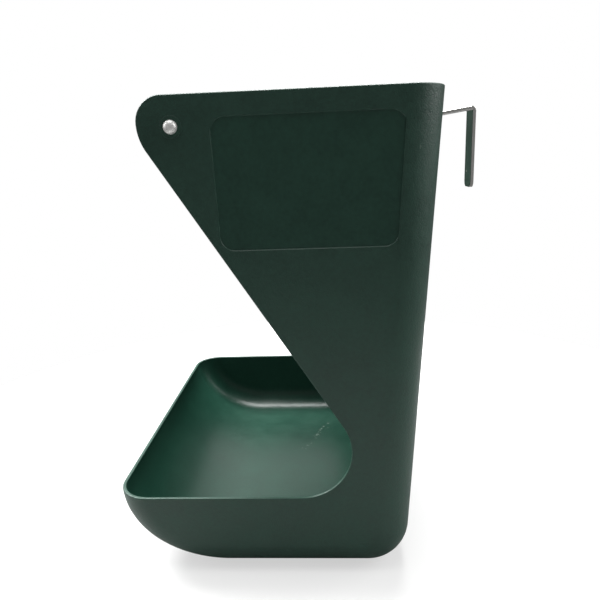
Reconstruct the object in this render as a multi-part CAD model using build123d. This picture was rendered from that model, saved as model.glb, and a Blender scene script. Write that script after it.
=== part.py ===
from build123d import *
import math
import os

# Hanging poultry feeder: one moulded shell that is hopper and tray at once, a slanted front panel
# between its side walls, a cross rod through the two rounded noses, and two strap hooks at the back.
# Millimetres. X runs across the width, the tray opens toward minus Y, the hooks are on plus Y.
# The origin is on the flat underside.

# Shell
height = 299.0
base_width = 256.0
side_draft = 1.0
back_draft = 3.46
back_foot = 52.4
wall = 2.5
corner_radius = 22.0
back_bottom_radius = 27.6

# Tray
tray_front = -136.9
tray_rim_height = 56.7
tray_curve_run = 71.3
mouth_radius = 31.9
mouth_back_margin = 13.8
rim_edge_radius = 0.8

# Nose at the top of the slanted front edge: a brow that grows out of it, then a tighter crown
nose_tip = -94.4
crown_radius = 14.3
brow_radius = 27.7

# Sunk panel on the near side wall
panel_sink = 0.6
sunk_top_margin = 12.1
sunk_height = 71.4
sunk_slant_margin = 2.6
sunk_front_lean = 1.3
sunk_back_margin = 21.5
sunk_corner_radius = 8.0

# Front panel
panel_thickness = 2.5
panel_setback = 5.0
hood_lip = 6.0
panel_foot_height = 81.0
panel_side_gap = 2.0
panel_bead_radius = 2.4
panel_rib_thickness = 2.5
panel_rib_pitch = 86.0
panel_hub_radius = 5.0
panel_hub_proud = 0.2

# Guides for the lower corners of the panel
guide_gap = 0.3
guide_thickness = 3.0
guide_reach = 9.0
guide_length = 52.0
guide_foot_gap = 26.0

# Cross rod, its caps and its centring washers
rod_tip_setback = 18.7
rod_drop = 16.5
rod_diameter = 5.0
rod_end_chamfer = 0.4
rod_clearance = 0.05
rod_pad_radius = 6.0
rod_pad_proud = 0.3
cap_radius = 3.7
cap_height = 3.4
cap_skirt = 0.5
cap_grip = 2.3
cap_clearance = 0.02
spacer_radius = 5.0
spacer_end_gap = 0.1

# Strap hooks
strap_width = 16.0
strap_thickness = 2.0
strap_bend_radius = 1.5
hook_spacing = 154.0
hook_shoulder_drop = 13.4
hook_rise_angle = 8.0
hook_reach = 23.85
hook_leg_drop = 43.3
hook_plate_tail = 15.0
strap_corner_radius = 4.0

# Hook fasteners
bolt_diameter = 5.0
bolt_clearance = 0.2
thread_clearance = 0.05
upper_bolt_drop = 18.0
bolt_pitch = 27.0
bolt_head_radius = 5.0
bolt_head_height = 2.8
bolt_head_skirt = 0.8
bolt_neck_overlap = 0.5
drive_slot_length = 5.0
drive_slot_width = 1.1
drive_slot_depth = 1.3
washer_radius = 6.5
washer_thickness = 1.0
nut_across_flats = 8.0
nut_height = 4.0
nut_chamfer = 0.6
nut_crown_share = 1.12
bolt_end_length = 1.5
bolt_end_chamfer = 0.5

side_slope = math.tan(math.radians(side_draft))
back_slope = math.tan(math.radians(back_draft))
rod_height = height - rod_drop
rod_y = nose_tip + rod_tip_setback
rod_centre = Vector(rod_y, rod_height)
crown_centre = Vector(nose_tip + crown_radius, height - crown_radius)
brow_centre = Vector(nose_tip + brow_radius, height - crown_radius)
reach = base_width
cut_beyond = 40.0
tall = height + cut_beyond


def half_width(z, inset=0.0):
    """Half the outer width at height z, less an inset square to the drafted wall."""
    return base_width / 2 + z * side_slope - inset / math.cos(math.radians(side_draft))


def back_plane(z, inset=0.0):
    """Y of the leaning back wall at height z, less an inset square to the wall."""
    return back_foot + z * back_slope - inset / math.cos(math.radians(back_draft))


def mouth_corner():
    """Sharp corner of the mouth: on the tray rim's level, a margin in front of the back wall."""
    return Vector(back_plane(tray_rim_height) - mouth_back_margin, tray_rim_height)


def rounded_corner(before, corner, after, radius):
    """Start, middle and end of the arc that rounds a corner between two straight runs."""
    first = (before - corner).normalized()
    second = (after - corner).normalized()
    half = first.get_angle(second) / 2
    along = radius / math.tan(math.radians(half))
    bisector = (first + second).normalized()
    centre = corner + bisector * (radius / math.sin(math.radians(half)))
    return corner + first * along, centre - bisector * radius, corner + second * along


def side_prism(edges):
    """Solid that fills a closed side view outline, right across the width."""
    return extrude(Plane.YZ * make_face(edges), amount=reach, both=True)


def drafted_wedge(inset):
    """Solid between two side planes that open upward by the side draft."""
    low = -cut_beyond
    outline = Polyline(
        (-half_width(low, inset), low),
        (half_width(low, inset), low),
        (half_width(tall, inset), tall),
        (-half_width(tall, inset), tall),
        close=True,
    )
    return extrude(Plane.XZ * make_face(outline), amount=2 * reach, both=True)


def tub(inset, top):
    """Rounded block with the outline of the shell, moved inward by an inset."""
    floor = inset
    flat_start = Vector(tray_front + tray_curve_run, floor)
    front_top = Vector(tray_front + inset, tray_rim_height)
    foot = Vector(back_plane(floor, inset), floor)
    crest = Vector(back_plane(top, inset), top)
    bend = rounded_corner(flat_start, foot, crest, back_bottom_radius - inset)
    front_curve = EllipticalCenterArc(
        (tray_front + tray_curve_run, tray_rim_height),
        tray_curve_run - inset,
        tray_rim_height - inset,
        start_angle=180,
        arc_size=90,
    )
    outline = [
        Line((front_top.X, top), front_top),
        front_curve,
        Line(flat_start, bend[0]),
        ThreePointArc(*bend),
        Line(bend[2], crest),
        Line(crest, (front_top.X, top)),
    ]
    block = side_prism(outline) & drafted_wedge(inset)
    sides = block.faces().sort_by(Axis.X)
    rounded = [
        edge
        for side in (sides[0], sides[-1])
        for edge in side.edges()
        if edge.center().Z < top - 1.0
    ]
    return fillet(rounded, corner_radius - inset)


def open_air():
    """Space before and above the side walls: over the tray, up the slanted edge, round the nose."""
    rim_front = Vector(tray_front - cut_beyond, tray_rim_height)
    mouth = rounded_corner(rim_front, mouth_corner(), slant_top, mouth_radius)
    tip = Vector(nose_tip, crown_centre.Y)
    brow_half = (front_slope + math.pi / 2) / 2
    brow_middle = brow_centre + Vector(-math.sin(brow_half), -math.cos(brow_half)) * brow_radius
    crown_middle = crown_centre + Vector(-1, 1).normalized() * crown_radius
    crown_top = Vector(crown_centre.X, height)
    outline = [
        Line(rim_front, mouth[0]),
        ThreePointArc(*mouth),
        Line(mouth[2], slant_top),
        ThreePointArc(slant_top, brow_middle, tip),
        ThreePointArc(tip, crown_middle, crown_top),
        Line(crown_top, (crown_top.X, tall)),
        Line((crown_top.X, tall), (rim_front.X, tall)),
        Line((rim_front.X, tall), rim_front),
    ]
    return side_prism(outline)


def soften_rims(moulding, air):
    """Round the raw edges of the top rim, the slanted edges and the tray rim."""
    rims = []
    for face in moulding.faces():
        middle = face.center()
        on_cut = abs(face.normal_at(middle).X) < 0.02 and air.distance_to(middle) < 0.001
        if on_cut or abs(middle.Z - height) < 0.001:
            rims.append(face)
    long_edges = []
    for edge in [edge for face in rims for edge in face.edges()]:
        crosses_wall = edge.bounding_box().size.X < wall + 0.2 and edge.length < wall + 1.0
        seen = any(edge.wrapped.IsSame(other.wrapped) for other in long_edges)
        if not crosses_wall and not seen:
            long_edges.append(edge)
    return fillet(long_edges, rim_edge_radius)


def sunk_panel():
    """Shallow four sided field with rounded corners, sunk into the near side wall."""
    corners = Polyline(
        (sunk_front_bottom, sunk_bottom),
        (back_plane(sunk_bottom) - sunk_back_margin, sunk_bottom),
        (back_plane(sunk_top) - sunk_back_margin, sunk_top),
        (sunk_front_top, sunk_top),
        close=True,
    )
    field = fillet(make_face(corners).vertices(), sunk_corner_radius)
    prism = extrude(Plane.YZ * field, amount=reach)
    return prism - drafted_wedge(panel_sink)


def rod_along_x(radius, start, end):
    """Cylinder on the rod's axis between two X positions."""
    centre = Location(((start + end) / 2, rod_y, rod_height), (0, 90, 0))
    return centre * Cylinder(radius, end - start)


def slanted_bar(near, far, low, high, left, right):
    """Bar beside the front panel: near and far are offsets toward the front, low and high run down it."""
    corners = [
        rod_centre + out_front * near + down_front * low,
        rod_centre + out_front * far + down_front * low,
        rod_centre + out_front * far + down_front * high,
        rod_centre + out_front * near + down_front * high,
    ]
    face = make_face(Polyline(*corners, close=True))
    return Pos(left, 0, 0) * extrude(Plane.YZ * face, amount=right - left)


def wall_frame(x, z):
    """Plane on the outer face of the back wall, its normal pointing out of the wall."""
    normal = (0, math.cos(math.radians(back_draft)), -math.sin(math.radians(back_draft)))
    return Plane(origin=(x, back_plane(z), z), x_dir=(1, 0, 0), z_dir=normal)


def on_wall(x, z, start, end, radius):
    """Cylinder square to the back wall, measured outward from its outer face."""
    return wall_frame(x, z) * Pos(0, 0, (start + end) / 2) * Cylinder(radius, end - start)


# Slanted front edge: it touches the brow and meets the tray rim at the mouth's corner
to_brow = brow_centre - mouth_corner()
slope_to_brow = math.atan2(to_brow.Y, -to_brow.X)
front_slope = slope_to_brow - math.asin(brow_radius / to_brow.length)
down_front = Vector(math.cos(front_slope), -math.sin(front_slope))
out_front = Vector(-math.sin(front_slope), -math.cos(front_slope))
slant_top = brow_centre + out_front * brow_radius

sunk_top = height - sunk_top_margin
sunk_bottom = sunk_top - sunk_height
sunk_front_bottom = slant_top.X + (slant_top.Y - sunk_bottom) / math.tan(front_slope) + sunk_slant_margin
sunk_front_top = sunk_front_bottom - sunk_front_lean

rod_to_slant = (slant_top - rod_centre).dot(out_front)
hood_radius = rod_to_slant - panel_setback
panel_back = hood_radius - panel_thickness
slope_start = rod_centre + out_front * hood_radius
panel_length = (slope_start.Y - panel_foot_height) / math.sin(front_slope)
guide_end = panel_length - guide_foot_gap
guide_start = guide_end - guide_length

hook_shoulder_height = height - hook_shoulder_drop
hook_leg_y = back_plane(hook_shoulder_height) + hook_reach
hook_leg_bottom = hook_shoulder_height - hook_leg_drop
upper_bolt_height = hook_shoulder_height - upper_bolt_drop
lower_bolt_height = upper_bolt_height - bolt_pitch
hook_plate_bottom = lower_bolt_height - hook_plate_tail

bolt_places = {
    "upper_left": (-hook_spacing / 2, upper_bolt_height),
    "lower_left": (-hook_spacing / 2, lower_bolt_height),
    "upper_right": (hook_spacing / 2, upper_bolt_height),
    "lower_right": (hook_spacing / 2, lower_bolt_height),
}
bolt_hole_radius = bolt_diameter / 2 + bolt_clearance
rod_radius = rod_diameter / 2
pad_outer_x = half_width(rod_height) + rod_pad_proud
pad_inner_x = half_width(rod_height, wall) - rod_pad_proud
hub_x = half_width(rod_height, wall + panel_side_gap) + panel_hub_proud

# Moulded shell
shell = tub(0.0, height) - tub(wall, tall)
air = open_air()
shell = soften_rims(shell - air, air)
shell = shell - sunk_panel()
guide_middle = rod_centre + out_front * hood_radius + down_front * ((guide_start + guide_end) / 2)
guide_root = half_width(guide_middle.Y, wall / 2)
guide_face = guide_root - guide_reach
for side in (-1, 1):
    ends = sorted((side * pad_outer_x, side * pad_inner_x))
    shell = shell + rod_along_x(rod_pad_radius, ends[0], ends[1])
    left, right = sorted((side * guide_root, side * guide_face))
    shell = shell + slanted_bar(
        hood_radius + guide_gap,
        hood_radius + guide_gap + guide_thickness,
        guide_start,
        guide_end,
        left,
        right,
    )
    shell = shell + slanted_bar(
        panel_back - guide_gap - guide_thickness,
        panel_back - guide_gap,
        guide_start,
        guide_end,
        left,
        right,
    )
shell = shell - rod_along_x(rod_radius + rod_clearance, -reach, reach)
for x, z in bolt_places.values():
    shell = shell - on_wall(x, z, -2 * wall, 2 * wall, bolt_hole_radius)

# Front panel: flat sheet tangent to a round hood over the rod
slope_end = slope_start + down_front * panel_length
inner_end = slope_end - out_front * panel_thickness
inner_start = rod_centre + out_front * panel_back
hood_middle = Vector(-math.cos(math.radians(30)), math.sin(math.radians(30)))
hood_top = rod_centre + Vector(0, hood_radius)
hood_under = rod_centre + Vector(0, panel_back)
sheet = side_prism(
    [
        Line(hood_top + Vector(hood_lip, 0), hood_top),
        ThreePointArc(hood_top, rod_centre + hood_middle * hood_radius, slope_start),
        Line(slope_start, slope_end),
        Line(slope_end, inner_end),
        Line(inner_end, inner_start),
        ThreePointArc(inner_start, rod_centre + hood_middle * panel_back, hood_under),
        Line(hood_under, hood_under + Vector(hood_lip, 0)),
        Line(hood_under + Vector(hood_lip, 0), hood_top + Vector(hood_lip, 0)),
    ]
)
bead_centre = (slope_end + inner_end) * 0.5
bead = Location((0, bead_centre.X, bead_centre.Y), (0, 90, 0)) * Cylinder(panel_bead_radius, 2 * reach)
front_panel = (sheet + bead) & drafted_wedge(wall + panel_side_gap)
rib_radius = panel_back + panel_thickness / 2
for x in (-panel_rib_pitch / 2, panel_rib_pitch / 2):
    half_rib = panel_rib_thickness / 2
    front_panel = front_panel + rod_along_x(rib_radius, x - half_rib, x + half_rib)
for side in (-1, 1):
    ear_outer = half_width(rod_height - rib_radius, wall + panel_side_gap)
    ear = sorted((side * ear_outer, side * (ear_outer - panel_rib_thickness)))
    front_panel = front_panel + rod_along_x(rib_radius, ear[0], ear[1])
    hub = sorted((side * hub_x, side * (hub_x - panel_rib_thickness)))
    front_panel = front_panel + rod_along_x(panel_hub_radius, hub[0], hub[1])
front_panel = front_panel - rod_along_x(rod_radius + rod_clearance, -reach, reach)

# Cross rod with a domed cap pushed on each end
rod_end = pad_outer_x + cap_grip
cross_rod = rod_along_x(rod_radius, -rod_end, rod_end)
cross_rod = chamfer(cross_rod.edges().filter_by(GeomType.CIRCLE), rod_end_chamfer)
rod_caps = {}
rod_spacers = {}
for name, side in (("left", -1), ("right", 1)):
    dome = Cylinder(cap_radius, cap_height, align=(Align.CENTER, Align.CENTER, Align.MIN))
    dome = fillet(dome.edges().sort_by(Axis.Z)[-1], cap_height - cap_skirt)
    bore = Cylinder(
        rod_radius + cap_clearance,
        cap_grip,
        align=(Align.CENTER, Align.CENTER, Align.MIN),
    )
    rod_caps[name] = Location((side * pad_outer_x, rod_y, rod_height), (0, side * 90, 0)) * (dome - bore)
    washer_ends = sorted((side * (hub_x + spacer_end_gap), side * (pad_inner_x - spacer_end_gap)))
    ring = rod_along_x(spacer_radius, washer_ends[0], washer_ends[1])
    rod_spacers[name] = ring - rod_along_x(rod_radius + rod_clearance, -reach, reach)

# Strap hooks bent from flat bar: plate on the wall, short bridge that rises backward, hanging leg
half_strap = strap_thickness / 2
plate_low = wall_frame(0, hook_plate_bottom).from_local_coords((0, 0, half_strap))
plate_high = wall_frame(0, hook_shoulder_height).from_local_coords((0, 0, half_strap))
bridge_run = hook_leg_y - plate_high.Y
leg_top = plate_high.Z + bridge_run * math.tan(math.radians(hook_rise_angle))
hooks = {}
for name, side in (("left", -1), ("right", 1)):
    x = side * hook_spacing / 2
    path = FilletPolyline(
        (x, plate_low.Y, plate_low.Z),
        (x, plate_high.Y, plate_high.Z),
        (x, hook_leg_y, leg_top),
        (x, hook_leg_y, hook_leg_bottom),
        radius=strap_bend_radius,
    )
    start = Plane(origin=path @ 0, x_dir=(1, 0, 0), z_dir=path % 0)
    strap = sweep(start * Rectangle(strap_width, strap_thickness), path=path)
    ends = strap.faces().filter_by(lambda face: abs(face.area - strap_width * strap_thickness) < 0.01)
    short_edges = [
        edge
        for face in ends
        for edge in face.edges()
        if edge.length < strap_thickness + 0.01
    ]
    strap = fillet(short_edges, strap_corner_radius)
    for z in (upper_bolt_height, lower_bolt_height):
        strap = strap - on_wall(x, z, -strap_thickness, 2 * strap_thickness, bolt_hole_radius)
    hooks[name] = strap

# Bolts with low heads on the strap, a wide washer against the plastic and a nut inside the hopper
bolts = {}
washers = {}
nuts = {}
nut_seat = -wall - washer_thickness
for name, (x, z) in bolt_places.items():
    head = Cylinder(bolt_head_radius, bolt_head_height)
    head = fillet(head.edges().sort_by(Axis.Z)[-1], bolt_head_height - bolt_head_skirt)
    head = wall_frame(x, z) * Pos(0, 0, strap_thickness + bolt_head_height / 2) * head
    shank_end = nut_seat - nut_height - bolt_end_length
    shank = on_wall(x, z, shank_end, strap_thickness + bolt_neck_overlap, bolt_diameter / 2)
    shank = chamfer(shank.edges().filter_by(GeomType.CIRCLE).sort_by(Axis.Y)[0], bolt_end_chamfer)
    slot_place = wall_frame(x, z) * Pos(0, 0, strap_thickness + bolt_head_height)
    cross = Box(drive_slot_length, drive_slot_width, 2 * drive_slot_depth)
    cross = cross + Box(drive_slot_width, drive_slot_length, 2 * drive_slot_depth)
    bolts[name] = head + shank - slot_place * cross
    disc = on_wall(x, z, nut_seat, -wall, washer_radius)
    washers[name] = disc - on_wall(x, z, -3 * wall, 3 * wall, bolt_hole_radius)
    hexagon = RegularPolygon(nut_across_flats / 2, 6, major_radius=False)
    nut = extrude(hexagon, amount=nut_height)
    crown = Cylinder(
        nut_across_flats / 2 * nut_crown_share,
        nut_height,
        align=(Align.CENTER, Align.CENTER, Align.MIN),
    )
    nut = nut & chamfer(crown.edges().sort_by(Axis.Z)[0], nut_chamfer)
    nut = nut - Cylinder(bolt_diameter / 2 + thread_clearance, 4 * nut_height)
    nuts[name] = wall_frame(x, z) * Pos(0, 0, nut_seat - nut_height) * nut

nodes = {
    "feeder_body": shell,
    "front_panel": front_panel,
    "cross_rod": cross_rod,
}
for name in ("left", "right"):
    nodes["rod_cap_" + name] = rod_caps[name]
    nodes["rod_spacer_" + name] = rod_spacers[name]
    nodes["hook_" + name] = hooks[name]
for name in bolt_places:
    nodes["hook_bolt_" + name] = bolts[name]
    nodes["hook_washer_" + name] = washers[name]
    nodes["hook_nut_" + name] = nuts[name]

os.makedirs("parts", exist_ok=True)
for name, solid in nodes.items():
    export_step(solid, "parts/" + name + ".step")
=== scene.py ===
"""Hanging poultry feeder: the looks of a moulded hopper and tray, in metres, in the frame of its solids.

X runs across the width, the tray opens toward minus Y, the strap hooks are on plus Y and Z is up.
"""

import logging
import math
from collections.abc import Callable
from dataclasses import dataclass, field
from enum import Enum
from functools import reduce

import bpy
import numpy as np
from mathutils import Matrix, Vector
from mathutils.geometry import tessellate_polygon


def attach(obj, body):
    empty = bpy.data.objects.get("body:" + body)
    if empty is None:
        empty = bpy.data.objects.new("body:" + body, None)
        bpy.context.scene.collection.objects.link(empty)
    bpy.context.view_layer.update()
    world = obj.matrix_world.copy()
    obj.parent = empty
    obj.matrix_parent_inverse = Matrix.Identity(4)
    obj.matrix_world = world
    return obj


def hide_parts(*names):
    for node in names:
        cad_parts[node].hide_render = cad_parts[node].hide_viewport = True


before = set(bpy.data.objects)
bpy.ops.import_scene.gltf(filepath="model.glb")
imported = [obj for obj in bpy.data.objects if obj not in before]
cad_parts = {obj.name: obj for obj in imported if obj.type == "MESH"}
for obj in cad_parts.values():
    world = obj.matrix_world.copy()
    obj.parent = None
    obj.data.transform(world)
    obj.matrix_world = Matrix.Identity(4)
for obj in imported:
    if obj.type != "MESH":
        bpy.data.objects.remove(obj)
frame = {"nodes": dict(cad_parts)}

log = logging.getLogger("feeder")

Array = np.ndarray
Faced = tuple[Array, Array]
Ends = Callable[[Array], tuple[Array, Array]]
Place = tuple[float, float, float]
Colour = tuple[float, float, float, float]
Limits = tuple[float, float]
Socket = bpy.types.NodeSocket
Shade = Socket | Colour
Level = Socket | float

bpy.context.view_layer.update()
WELD_DISTANCE = 2e-6
SAME_PLACE = 1e-7
NO_LENGTH = 1e-12
NO_AREA = 1e-14
ACROSS = np.array([1.0, 0.0, 0.0])
UP = np.array([0.0, 0.0, 1.0])
WHITE = (1.0, 1.0, 1.0, 1.0)


class Side(Enum):
    """Which side of the feeder a paired piece is on."""

    LEFT = -1
    RIGHT = 1


class Skin(Enum):
    """Which face of the moulded wall a surface is."""

    OUTER = 0
    INNER = 1

    @property
    def outward(self) -> int:
        """One for the outer face, and minus one for the inner, whose normals point into the hopper."""
        return 1 - 2 * self.value


class ShellSlot(Enum):
    """Material slots of the moulded shell, in order."""

    GRAINED = 0
    SMOOTH = 1
    SUNK = 2


# Patches of surface


@dataclass
class Patch:
    """Part of a surface: points, the normal at each corner of each face, and a material slot."""

    points: Array
    normals: Array
    faces: Array
    slot: int = 0


def unit(vectors: Array) -> Array:
    """Vectors scaled to length one."""
    return vectors / np.maximum(np.linalg.norm(vectors, axis=-1, keepdims=True), NO_LENGTH)


def grid_patch(
    points: Array, normals: Array, closed_u: bool = False, closed_v: bool = False, slot: int = 0
) -> Patch:
    """Quads over a grid of points.

    Args:
        points: Array of rows by columns by three.
        normals: Outward normals, of the same shape.
        closed_u: True where the last row joins the first.
        closed_v: True where the last column joins the first.
        slot: Material slot.

    Returns:
        The patch, its corners numbered row by row.
    """
    rows, columns = points.shape[:2]
    number = np.arange(rows * columns).reshape(rows, columns)
    if closed_u:
        number = np.concatenate([number, number[:1]])
    if closed_v:
        number = np.concatenate([number, number[:, :1]], axis=1)
    quads = np.stack([number[:-1, :-1], number[1:, :-1], number[1:, 1:], number[:-1, 1:]], axis=-1)
    return Patch(points.reshape(-1, 3), normals.reshape(-1, 3), quads.reshape(-1, 4), slot)


def flat_patch(loops: list[Array], normal: Array, slot: int = 0) -> Patch:
    """A flat sheet bounded by one loop of points, less any further loops inside it.

    Args:
        loops: The border first, then each hole, as arrays of points in space.
        normal: The sheet's outward normal.
        slot: Material slot.

    Returns:
        The patch in triangles, with no points but those of its loops.
    """
    axis = int(np.argmax(np.abs(normal)))
    flat = [[Vector(np.delete(point, axis)) for point in loop] for loop in loops]
    triangles = np.array(tessellate_polygon(flat), int)
    faces = np.concatenate([triangles, triangles[:, -1:]], axis=1)
    points = np.concatenate(loops)
    return Patch(points, np.broadcast_to(normal, points.shape).copy(), faces, slot)


@dataclass
class Moulding:
    """Patches welded into one mesh that keeps the worked-out normals."""

    name: str
    patches: list[Patch] = field(default_factory=list)

    def add(self, *patches: Patch) -> None:
        """Adds patches to the piece."""
        self.patches.extend(patches)

    def build(self, materials: list[bpy.types.Material], body: str = "root") -> bpy.types.Object:
        """Welds the patches and makes the object, at the origin, riding on a body.

        Points closer than the weld distance become one. Faces are turned to agree with their
        normals, and a quad with two equal corners becomes a triangle.

        Args:
            materials: The material of each slot.
            body: The body that the piece rides on.

        Returns:
            The new object.
        """
        starts = np.cumsum([0] + [len(patch.points) for patch in self.patches])
        points = np.concatenate([patch.points for patch in self.patches])
        normals = unit(np.concatenate([patch.normals for patch in self.patches]))
        corners = np.concatenate([patch.faces + start for patch, start in zip(self.patches, starts)])
        slots = np.concatenate([np.full(len(patch.faces), patch.slot) for patch in self.patches])
        first, second, third, fourth = (points[corners[:, k]] for k in range(4))
        across = np.cross(third - first, fourth - second)
        thin = np.linalg.norm(across, axis=1) < NO_AREA
        across[thin] = np.cross(second - first, third - first)[thin]
        wrong = np.einsum("ij,ij->i", across, normals[corners].sum(axis=1)) < 0
        corners[wrong] = corners[wrong][:, ::-1]
        cells = np.round(points / WELD_DISTANCE).astype(np.int64)
        _, kept, welded = np.unique(cells, axis=0, return_index=True, return_inverse=True)
        vertices = welded.reshape(-1)[corners]
        fresh = vertices != np.roll(vertices, 1, axis=1)
        whole = fresh.sum(axis=1) >= 3
        vertices, corners, fresh, slots = vertices[whole], corners[whole], fresh[whole], slots[whole]
        sizes = fresh.sum(axis=1)
        mesh = bpy.data.meshes.new(self.name)
        mesh.vertices.add(len(kept))
        mesh.vertices.foreach_set("co", points[kept].astype(np.float32).ravel())
        mesh.loops.add(int(sizes.sum()))
        mesh.loops.foreach_set("vertex_index", vertices[fresh].astype(np.int32))
        mesh.polygons.add(len(sizes))
        mesh.polygons.foreach_set("loop_start", (np.cumsum(sizes) - sizes).astype(np.int32))
        mesh.polygons.foreach_set("material_index", slots.astype(np.int32))
        mesh.update(calc_edges=True)
        mesh.shade_smooth()
        mesh.normals_split_custom_set(normals[corners[fresh]])
        piece = bpy.data.objects.new(self.name, mesh)
        bpy.context.scene.collection.objects.link(piece)
        for material in materials:
            mesh.materials.append(material)
        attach(piece, body)
        return piece


# Outlines and the surfaces carried along them


def direction(degrees: float) -> Array:
    """Unit vector in the plane at an angle from the first axis."""
    return np.array([math.cos(math.radians(degrees)), math.sin(math.radians(degrees))])


def circle(count: int) -> Array:
    """Unit vectors in the plane, spaced evenly round a full turn."""
    turn = np.linspace(0, 2 * math.pi, count, endpoint=False)
    return np.stack([np.cos(turn), np.sin(turn)], axis=-1)


def rounded_outline(corners: Array, radii: list[float], steps: int, closed: bool = True) -> Faced:
    """Outline whose corners are rounded, listed anticlockwise so that its normals point outward.

    Each corner becomes an arc tangent to both its sides: the centre is on the bisector, at the
    radius over the sine of half the corner. A radius of zero keeps the corner sharp, with two
    points that share a place and not a normal.

    Args:
        corners: The sharp corners in the plane.
        radii: The radius at each corner.
        steps: Divisions of each arc.
        closed: False for an open line, whose two ends stay as they are.

    Returns:
        Points and outward normals.
    """
    points, normals = [], []
    count = len(corners)
    for index in range(count):
        here = corners[index]
        if not closed and index in (0, count - 1):
            along = unit(corners[1] - corners[0]) if index == 0 else unit(corners[-1] - corners[-2])
            points.append(here[None])
            normals.append(np.array([[along[1], -along[0]]]))
            continue
        before = unit(here - corners[index - 1])
        after = unit(corners[(index + 1) % count] - here)
        turn = math.atan2(before[0] * after[1] - before[1] * after[0], float(before @ after))
        sign = math.copysign(1.0, turn)
        reach = radii[index] * math.tan(abs(turn) / 2)
        left = np.array([-before[1], before[0]])
        centre = here - before * reach + left * sign * radii[index]
        start = math.atan2(-left[1] * sign, -left[0] * sign)
        angles = start + np.linspace(0, turn, (steps if radii[index] > 0 else 1) + 1)
        rays = np.stack([np.cos(angles), np.sin(angles)], axis=-1)
        points.append(centre + rays * radii[index])
        normals.append(rays * sign)
    return np.concatenate(points), np.concatenate(normals)


def crosswise(
    line: Array, normals: Array, ends: Ends, radius: float, arc_steps: int, span_steps: int = 1
) -> Faced:
    """Surface made by carrying a side view line across the width, its two long edges rounded.

    For a line point P with normal N, the middle of the row is P moved along X. At each end the
    row turns through a quarter circle toward X: at angle a it stands in from the end plane by
    radius times (1 - sin a), and in from the line by radius times (1 - cos a) along N.

    Args:
        line: Side view points (y, z).
        normals: Their outward normals (y, z).
        ends: Gives the low and the high X of the end planes for an array of heights.
        radius: Radius of the long edges.
        arc_steps: Divisions of each quarter circle.
        span_steps: Divisions of the straight middle.

    Returns:
        Grids of points and normals, line by width.
    """
    angle = np.linspace(0, math.pi / 2, arc_steps + 1)
    turns = np.concatenate([angle[::-1], np.zeros(span_steps - 1), angle])
    middle = np.arange(1, span_steps) / span_steps
    mix = np.concatenate([np.zeros(arc_steps + 1), middle, np.ones(arc_steps + 1)])
    sign = np.where(mix < 0.5, -1.0, 1.0)
    inward = radius * (1 - np.cos(turns))
    flat = line[:, None, :] - normals[:, None, :] * inward[None, :, None]
    low, high = ends(flat[..., 1])
    side_step = radius * (1 - np.sin(turns))
    across = (low + side_step) * (1 - mix) + (high - side_step) * mix
    points = np.concatenate([across[..., None], flat], axis=-1)
    facing = np.empty_like(points)
    facing[..., 0] = sign * np.sin(turns)
    facing[..., 1:] = normals[:, None, :] * np.cos(turns)[None, :, None]
    return points, facing


def level_ends(low: float, high: float) -> Ends:
    """End planes at two fixed places across the width."""
    return lambda z: (np.full_like(z, low), np.full_like(z, high))


def capped_bar(line: Array, normals: Array, ends: Ends, radius: float, slot: int = 0) -> list[Patch]:
    """Bar across the width whose section is a closed outline, with both ends flat and rounded off.

    Args:
        line: Side view points (y, z) of the section.
        normals: Their outward normals (y, z).
        ends: Gives the low and the high X of the end planes for an array of heights.
        radius: Radius of the edges round both ends.
        slot: Material slot.

    Returns:
        The long face and the two end faces.
    """
    points, facing = crosswise(line, normals, ends, radius, arc_steps=3)
    return [
        grid_patch(points, facing, closed_u=True, slot=slot),
        flat_patch([points[:, 0]], -ACROSS, slot),
        flat_patch([points[:, -1]], ACROSS, slot),
    ]


def turned(outline: Array, normals: Array, centre: Array, axis: Array, segments: int = 48) -> Patch:
    """Surface turned about an axis.

    A point of the outline at radius r and height h goes to centre + axis h + r (u cos t + v sin t),
    where u and v stand square to the axis.

    Args:
        outline: Points (radius, height).
        normals: Their outward normals (radius, height).
        centre: Where the axis has height nought.
        axis: Unit vector along the axis, which isn't upright.
        segments: Divisions of the turn.

    Returns:
        The closed patch.
    """
    first = unit(np.cross(UP, axis))
    second = np.cross(axis, first)
    ring = circle(segments)
    rays = ring[:, :1] * first + ring[:, 1:] * second
    points = centre + outline[:, None, 1:] * axis + outline[:, None, :1] * rays[None]
    facing = normals[:, None, 1:] * axis + normals[:, None, :1] * rays[None]
    return grid_patch(points, facing, closed_v=True)


def turned_disc(low: float, high: float, radius: float, edge: float, centre: Array, axis: Array) -> Patch:
    """Round disc with softened rims.

    Args:
        low: Where it begins along the axis.
        high: Where it ends.
        radius: Its radius.
        edge: Radius of its rims.
        centre: Where the axis has height nought.
        axis: Unit vector along the axis.

    Returns:
        The closed disc.
    """
    corners = np.array([[0.0, low], [radius, low], [radius, high], [0.0, high]])
    outline, normals = rounded_outline(corners, [0, edge, edge, 0], steps=3)
    return turned(outline, normals, centre, axis)


# Finishes


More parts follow.
